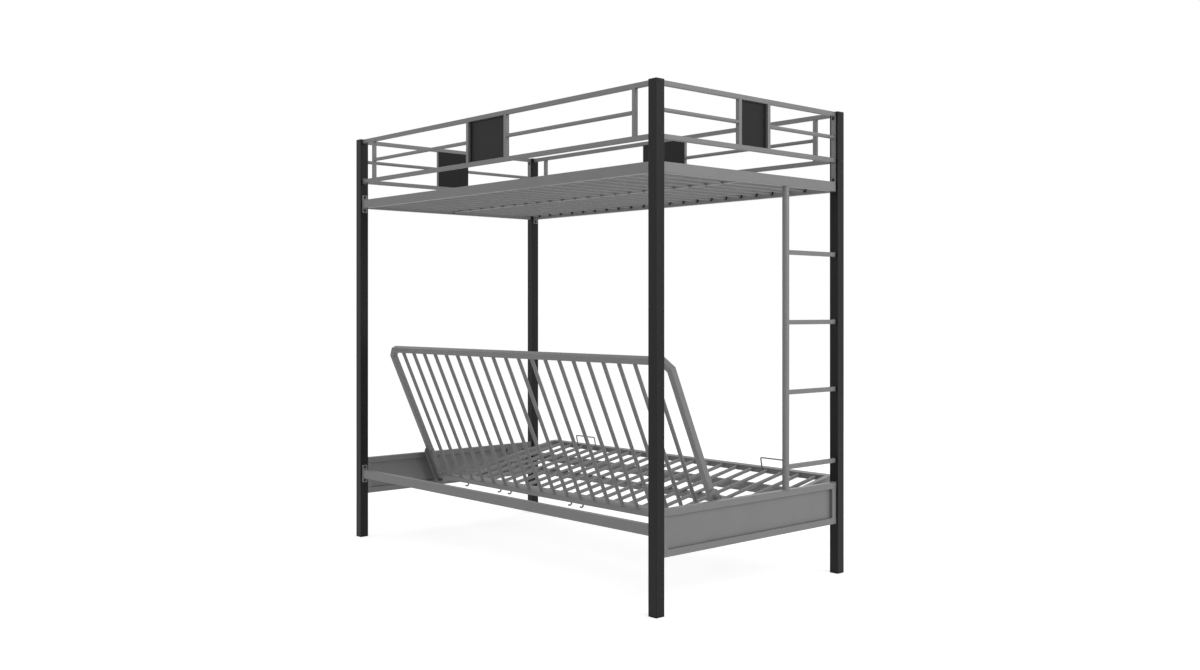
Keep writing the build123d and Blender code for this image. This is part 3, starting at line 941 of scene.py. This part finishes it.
@dataclass
class LongGuard(Guard):
    """A guard rail along the bed, with a plate at each rail's end that bolts to a post."""

    plate: float = 3 * MM
    plate_height: float = 26 * MM

    def build(self) -> None:
        """Makes the rails with their plates, the uprights, rods and panel."""
        for bench, blank in self.each(f"guard_rails_{self.side}"):
            rail = blank.section(X, (self.tube, self.tube_height))
            plates = blank.section(X, (blank.size.y, min(blank.size.z, self.plate_height)))
            bench.plated_rail(rail, plates, self.plate, self.ease, self.rail_bead)
        self.welded_tubes(f"guard_uprights_{self.side}", Z, Y, self.bead)
        self.rods(f"guard_rods_{self.side}", self.fillet)
        self.panel(Y)


@dataclass
class EndGuard(Guard):
    """A guard rail across an end, with the deck's end rail, on two flat bars."""

    bar: float = 4 * MM

    def build(self) -> None:
        """Makes the rails, uprights, flat bars, rods, panel and deck rail."""
        for bench, blank in self.each(f"guard_rails_{self.side}"):
            rail = blank.section(Y, (self.tube, self.tube_height))
            bench.welded_tube(rail, Y, X, self.rail_bead)
        for bench, blank in self.each(f"guard_uprights_{self.side}"):
            if blank.size.y < (self.bar + self.tube) / 2:
                bench.plate(blank, 2 * self.ease, self.ease)
            else:
                bench.welded_tube(blank, Z, X, self.bead)
        self.rods(f"guard_rods_{self.side}", self.fillet)
        self.panel(X)
        self.welded_tubes(f"deck_end_rail_{self.side}", Y, X, self.bead)


@dataclass
class SideRail(SubAssembly):
    """A rail along the bed with a bolted plate on each end."""

    node: str = "low_rail_back"
    height: float = 38 * MM
    width: float = 25 * MM
    plate: float = 4 * MM
    ease: float = 0.6 * MM
    bead: float = 2 * MM

    def build(self) -> None:
        """Makes the rail, its plates and their welds."""
        for bench, blank in self.each(self.node):
            rail = blank.section(X, (self.width, self.height))
            bench.plated_rail(rail, blank, self.plate, self.ease, self.bead)


@dataclass
class Deck(SubAssembly):
    """The slats of the upper bunk in their sockets, and the strap under their middle.

    ``rivet_shares`` holds heights and radii of a rivet's head as shares of its height and
    radius. ``socket_steps`` holds shares of a socket's length, and how many lips its radius
    is drawn in there.
    """

    strap: float = 3 * MM
    rivet: float = 4.5 * MM
    rivet_sides: int = 16
    rivet_shares: tuple[tuple[float, float], ...] = (
        (0.0, 0.0), (0.0, 1.0), (0.45, 0.92), (0.85, 0.55), (1.0, 0.0))
    socket_lip: float = 1.2 * MM
    socket_steps: tuple[tuple[float, float], ...] = (
        (0.0, 0.0), (0.3, 0.0), (0.45, 1.0), (0.92, 1.5), (1.0, 2.0))
    ease: float = 0.4 * MM

    def build(self) -> None:
        """Makes the slats, the sockets and the riveted strap."""
        self.rods("deck_slats", 0.0, 0.0)
        self.sockets()
        self.riveted_strap()

    def sockets(self) -> None:
        """Makes the collars on the slats' ends, wide at the rail and narrow at the slat."""
        middle = self.middle("deck_slats").y
        for bench, blank in self.each("deck_slat_sockets", Coat.PLASTIC):
            length, radius = blank.size.y, blank.size.x / 2
            steps = [(length * share, radius - lips * self.socket_lip)
                     for share, lips in self.socket_steps]
            outward = math.copysign(1.0, blank.centre.y - middle)
            rail = Vector((blank.centre.x, blank.end(Y, outward), blank.centre.z))
            collar = turned_shape([(0.0, 0.0), *steps, (length, 0.0)])
            bench.stand(collar, rail, unit(Y, -outward))

    def riveted_strap(self) -> None:
        """Makes the strap, with a rivet under each slat."""
        for bench, blank in self.each("deck_strap"):
            seat, height = blank.high.z - self.strap, blank.size.z - self.strap
            bench.plate(blank.slice(Z, seat, self.strap), self.ease, self.ease)
            head = turned_shape([(high * height, wide * self.rivet)
                                 for high, wide in self.rivet_shares], sides=self.rivet_sides)
            for slat in self.blanks("deck_slats"):
                bench.stand(head, Vector((slat.centre.x, blank.centre.y, seat)), -Z_AXIS)


@dataclass
class EndPanels(SubAssembly):
    """The welded panels between the posts at the sofa's ends."""

    bead: float = 2 * MM
    ease: float = 0.4 * MM

    def build(self) -> None:
        """Makes the panels' tubes, stiles and sheets."""
        for end in ("left", "right"):
            self.welded_tubes(f"end_panel_rails_{end}", Y, X, self.bead)
            for bench, blank in self.each(f"end_panel_sheet_{end}"):
                bench.plate(blank, self.ease, self.ease)
        self.welded_tubes("end_panel_stiles", Z, X, self.bead)


@dataclass
class Ladder(SubAssembly):
    """The ladder's upright and the rungs that run from it to the post."""

    gain: float = 0.9 * MM
    rung: float = 17.5 * MM
    fillet: float = 1.6 * MM
    bead: float = 1.6 * MM

    def build(self) -> None:
        """Makes the upright and the rungs."""
        self.rods("ladder_upright", self.fillet, self.gain)
        for bench, blank in self.each("ladder_rungs"):
            rung = blank.section(Y, (self.rung, self.rung))
            bench.bar(rung, TUBE_CORNER)
            bench.end_welds(rung.slice(Y, rung.low.y, rung.size.y - self.bead), Y, X, self.bead)


@dataclass
class FrameBolts(SubAssembly):
    """The domed bolts with hexagon sockets that hold the standing frame together."""

    head_radius: float = 6.5 * MM
    head_height: float = 4 * MM
    dome_steps: int = 6
    shank_radius: float = 3 * MM
    socket_radius: float = 2.3 * MM
    socket_depth: float = 2.4 * MM
    socket_mouth_share: float = 1.12
    socket_chamfer: float = 0.25 * MM
    through_length: float = 50 * MM

    def head(self, shank: float) -> Mesh:
        """A bolt that stands on its seat at z 0, with its shank below.

        Args:
            shank: the shank's length.

        Returns:
            The bolt.
        """
        ball = (self.head_radius**2 + self.head_height**2) / (2 * self.head_height)
        mouth = self.socket_radius * self.socket_mouth_share
        radii = [mouth + (self.head_radius - mouth) * step / self.dome_steps
                 for step in range(self.dome_steps + 1)]
        dome = [(math.sqrt(ball**2 - radius**2) - ball + self.head_height, radius)
                for radius in radii]
        floor = self.head_height - self.socket_depth
        socket = [(floor, 0.0), (floor, self.socket_radius),
                  (dome[0][0] - self.socket_chamfer, self.socket_radius)]
        end = [(0.0, self.shank_radius), (-shank, self.shank_radius), (-shank, 0.0)]
        return turned_shape(socket + dome + end, hexes=(self.socket_radius,))

    def build(self) -> None:
        """Makes the bolts.

        The long ones go through a post and have their heads outside. The others hold a plate
        or a bar on the inner side of a post, and their heads are there.
        """
        middle = self.middle("frame_bolts")
        for bench, blank in self.each("frame_bolts", Coat.BLACK_ZINC):
            axis = blank.axis
            through = axis == X and blank.size.x > self.through_length
            outside = blank.centre[axis] > middle[axis]
            up = 1.0 if outside == through else -1.0
            foot = blank.centre.copy()
            foot[axis] = blank.end(axis, up) - up * self.head_height
            bench.stand(self.head(blank.size[axis] - self.head_height), foot, unit(axis, up))


@dataclass
class Backrest(SubAssembly):
    """The backrest: a mitred frame filled with rods."""

    body: str = "backrest"
    tilt: float = 24.0
    tube: float = 25 * MM
    leg: float = 12 * MM
    fillet: float = 1.8 * MM

    def build(self) -> None:
        """Makes the rails, side tubes and rods."""
        self.rails("backrest_rails", Z)
        self.tubes("backrest_side_tubes")
        self.rods("backrest_rods", self.fillet)

    def rails(self, node: str, axis: int) -> None:
        """Makes the rails, which turn both corners and run a short way back at each end.

        Args:
            node: the CAD node.
            axis: the working axis from one rail to the other.
        """
        middle = self.middle(node)[axis]
        for bench, blank in self.each(node):
            outward = math.copysign(1.0, blank.centre[axis] - middle)
            turn = blank.size[axis] - self.leg
            reach = blank.high.x - self.tube / 2
            half = [(reach, turn + self.leg), (reach, turn), (blank.high.x - turn, self.tube / 2)]
            points = []
            for width, depth in [(-width, depth) for width, depth in half] + half[::-1]:
                point = blank.centre.copy()
                point.x, point[axis] = width, blank.end(axis, outward) - outward * depth
                points.append(point)
            section = square_section(self.tube, TUBE_CORNER)
            bench.add(swept_shape(section, points, Y_AXIS if axis == Z else Z_AXIS))


@dataclass
class Seat(Backrest):
    """The seat: the same kind of frame, with its bar, mattress stops and tie hooks."""

    body: str = "seat"
    tilt: float = 11.0
    bead: float = 2 * MM
    stop_wire: float = 6.2 * MM
    stop_bend: float = 6 * MM
    hook_wire: float = 6.8 * MM
    hook_shank: float = 15 * MM
    hook_bend: float = 10 * MM
    hook_turn: float = math.radians(150)
    bend_steps: int = 6
    hook_steps: int = 10

    def build(self) -> None:
        """Makes the seat's frame, rods, bar and wires."""
        self.rails("seat_rails", Y)
        self.tubes("seat_side_tubes")
        self.rods("seat_rods", self.fillet)
        self.welded_tubes("seat_support_bar", X, Y, self.bead)
        self.stops()
        self.hooks()

    def stops(self) -> None:
        """Bends the wires that hold the mattress on the seat."""
        half = self.stop_wire / 2
        for bench, blank in self.each("mattress_stops"):
            left, right, top = blank.low.x + half, blank.high.x - half, blank.high.z - half
            corners = ((left, blank.low.z), (left, top), (right, top), (right, blank.low.z))
            points = [Vector((x, blank.centre.y, z)) for x, z in corners]
            path = bent_path(points, self.stop_bend, self.bend_steps)
            bench.add(swept_shape(round_section(half), path, Y_AXIS))

    def hooks(self) -> None:
        """Bends the wire hooks under the seat's rails."""
        half = self.hook_wire / 2
        turns = [self.hook_turn * step / self.hook_steps for step in range(self.hook_steps + 1)]
        for bench, blank in self.each("tie_hooks"):
            root = Vector((blank.centre.x, blank.low.y + half, blank.high.z))
            centre = root + Vector((0.0, self.hook_bend, -self.hook_shank))
            bend = [centre - self.hook_bend * Vector((0.0, math.cos(turn), math.sin(turn)))
                    for turn in turns]
            bench.add(swept_shape(round_section(half), [root, *bend], X_AXIS))


@dataclass
class FoldingGear(SubAssembly):
    """Plates, pins and bolts of the fold."""

    body: str = "backrest"
    tilt: float = 24.0
    ease: float = 0.6 * MM
    pin_ease: float = 0.7 * MM
    teeth: int = 18
    tip_radius: float = 32 * MM
    root_radius: float = 26.5 * MM
    bore_radius: float = 13.5 * MM
    sector_half: float = math.radians(65)
    sector_thickness: float = 2.2 * MM
    tooth_ease: float = 0.4 * MM

    def build(self) -> None:
        """Makes the plates of each body, the pins between them and the toothed sectors."""
        for end, outward in (("left", -1.0), ("right", 1.0)):
            for body, node in (("frame", "guide_plate"), ("backrest", "hinge_plate"),
                               ("seat", "seat_arm")):
                self.eased(f"{node}_{end}", Coat.SILVER, self.ease, body)
            self.sector(end, outward)
        for body, node, coat in (
            ("seat", "guide_pins", Coat.ZINC),
            ("frame", "pivot_bosses", Coat.SILVER),
            ("frame", "pivot_bolts", Coat.ZINC),
            ("backrest", "crease_pins", Coat.ZINC),
            ("backrest", "hinge_plate_bolts", Coat.ZINC),
        ):
            self.eased(node, coat, self.pin_ease, body)

    def sector(self, end: str, outward: float) -> None:
        """Makes the toothed sector of the click stop, on the front of a hinge plate.

        Args:
            end: the end of the bed.
            outward: the sign of x on its outer side.
        """
        plate = self.blanks(f"hinge_plate_{end}")[0]
        foot = self.blanks("pivot_bolts")[0].centre
        foot.x = plate.end(X, outward)
        across = Matrix((-Y_AXIS, -outward * Z_AXIS, outward * X_AXIS)).transposed().to_4x4()
        bench = self.bench()
        bench.add(self.sector_shape(), Matrix.Translation(foot) @ across)
        bench.deliver(Coat.SILVER, name=f"click_stop_sector_{end}")

    def sector_shape(self) -> Mesh:
        """A flat ring in XY with teeth outside, cut to a sector about X.

        Returns:
            The sector.
        """
        work = bmesh.new()
        count = 2 * self.teeth
        bore = bmesh.ops.create_circle(work, radius=self.bore_radius, segments=count)["verts"]
        bmesh.ops.create_circle(work, radius=self.tip_radius, segments=count)
        bmesh.ops.bridge_loops(work, edges=work.edges[:])
        step = 2 * math.pi / count
        for vert in set(work.verts) - set(bore):
            if round(math.atan2(vert.co.y, vert.co.x) / step) % 2:
                vert.co.xy *= self.root_radius / self.tip_radius
        spare = [face for face in work.faces
                 if X_AXIS.angle(face.calc_center_median()) > self.sector_half]
        bmesh.ops.delete(work, geom=spare, context="FACES")
        made = bmesh.ops.extrude_face_region(work, geom=work.faces[:], use_keep_orig=True)["geom"]
        raised = [vert for vert in made if isinstance(vert, BMVert)]
        bmesh.ops.translate(work, verts=raised, vec=Z_AXIS * self.sector_thickness)
        bmesh.ops.recalc_face_normals(work, faces=work.faces)
        bevelled(work, sharp_edges(work), self.tooth_ease, EASE_STEPS)
        return finished(work)


@dataclass(frozen=True)
class Lamp:
    """A soft square lamp that faces the middle of the bed, in metres and watts."""

    name: str
    place: tuple[float, float, float]
    power: float
    side: float = 4.0

    def hang(self) -> None:
        """Hangs the lamp."""
        light = bpy.data.lights.new(self.name, "AREA")
        light.shape = "SQUARE"
        light.size = self.side
        light.energy = self.power
        lamp = bpy.data.objects.new(self.name, light)
        lamp.location = self.place
        middle = (CAD_BOX[0] + CAD_BOX[1]) / 2
        view = middle - Vector(self.place)
        lamp.rotation_euler = view.to_track_quat("-Z", "Y").to_euler()
        bpy.context.scene.collection.objects.link(lamp)


@dataclass
class Studio:
    """The floor, the lamps, the world and the camera of the photograph."""

    camera_place: tuple[float, float, float] = (-3.8355, 3.3723, 1.046)
    camera_heading: float = math.radians(-132.08)
    lens: float = 35.295
    shift: tuple[float, float] = (-0.0024, -0.0201)
    ambient: float = 0.56
    floor_size: float = 60.0
    floor_glow: float = 0.6
    floor_grey: float = 0.74
    lamps: tuple[Lamp, ...] = (
        Lamp("side_lamp", (-5.2, -0.9, 3.2), 115.0),
        Lamp("back_lamp", (1.2, 5.6, 4.2), 38.0),
        Lamp("front_lamp", (1.5, -5.2, 3.8), 40.0),
    )

    def build(self) -> None:
        """Sets up the view, the floor and the light."""
        bpy.context.scene.view_settings.view_transform = "Standard"
        self.camera()
        self.floor()
        self.world()
        for lamp in self.lamps:
            lamp.hang()

    def camera(self) -> None:
        """Puts the camera where the photograph was taken from."""
        lens = bpy.data.cameras.new("camera")
        lens.lens = self.lens
        lens.shift_x, lens.shift_y = self.shift
        camera = bpy.data.objects.new("camera", lens)
        camera.location = self.camera_place
        camera.rotation_euler = (LEVEL, 0.0, self.camera_heading)
        bpy.context.scene.collection.objects.link(camera)
        bpy.context.scene.camera = camera

    def floor(self) -> None:
        """Lays a pale floor that stays white and keeps the bed's shadow."""
        work = bmesh.new()
        bmesh.ops.create_grid(work, x_segments=1, y_segments=1, size=self.floor_size / 2)
        mesh = bpy.data.meshes.new("floor")
        work.to_mesh(mesh)
        work.free()
        material = bpy.data.materials.new("studio_floor")
        material.use_nodes = True
        material.node_tree.nodes.clear()
        shading = Shading(material.node_tree)
        share = shading.add("Math", {0: shading.seen(), 1: self.floor_glow},
                            operation="MULTIPLY")
        glow = shading.add("Emission", {"Strength": share.outputs[0]})
        paint = shading.add("BsdfDiffuse", {"Color": (*[self.floor_grey] * 3, 1.0)})
        both = shading.add("AddShader", {0: paint.outputs[0], 1: glow.outputs[0]})
        shading.add("OutputMaterial", {"Surface": both.outputs[0]})
        mesh.materials.append(material)
        floor = bpy.data.objects.new("floor", mesh)
        bpy.context.scene.collection.objects.link(floor)

    def world(self) -> None:
        """Makes the surroundings white to the eye and softer as a light."""
        world = bpy.data.worlds.new("studio_world")
        bpy.context.scene.world = world
        world.use_nodes = True
        shading = Shading(world.node_tree)
        level = shading.stretch(shading.seen(), (0.0, 1.0), (self.ambient, 1.0))
        background = world.node_tree.nodes["Background"]
        shading.feed(background, {"Color": WHITE, "Strength": level})


def main() -> None:
    """Builds the studio and the bed, one sub-assembly after another."""
    logging.basicConfig(level=logging.INFO, format="%(name)s: %(message)s")
    parts: list[SubAssembly | Studio] = [Studio(), Posts()]
    parts += [LongGuard(side=side) for side in ("back", "front")]
    parts += [EndGuard(side=end) for end in ("left", "right")]
    parts += [SideRail(node=f"{level}_{side}") for level in ("deck_side_rail", "low_rail")
              for side in ("back", "front")]
    parts += [Deck(), EndPanels(), Ladder(), FrameBolts(), Backrest(), Seat(), FoldingGear()]
    for part in parts:
        part.build()


if __name__ == "__main__":
    main()
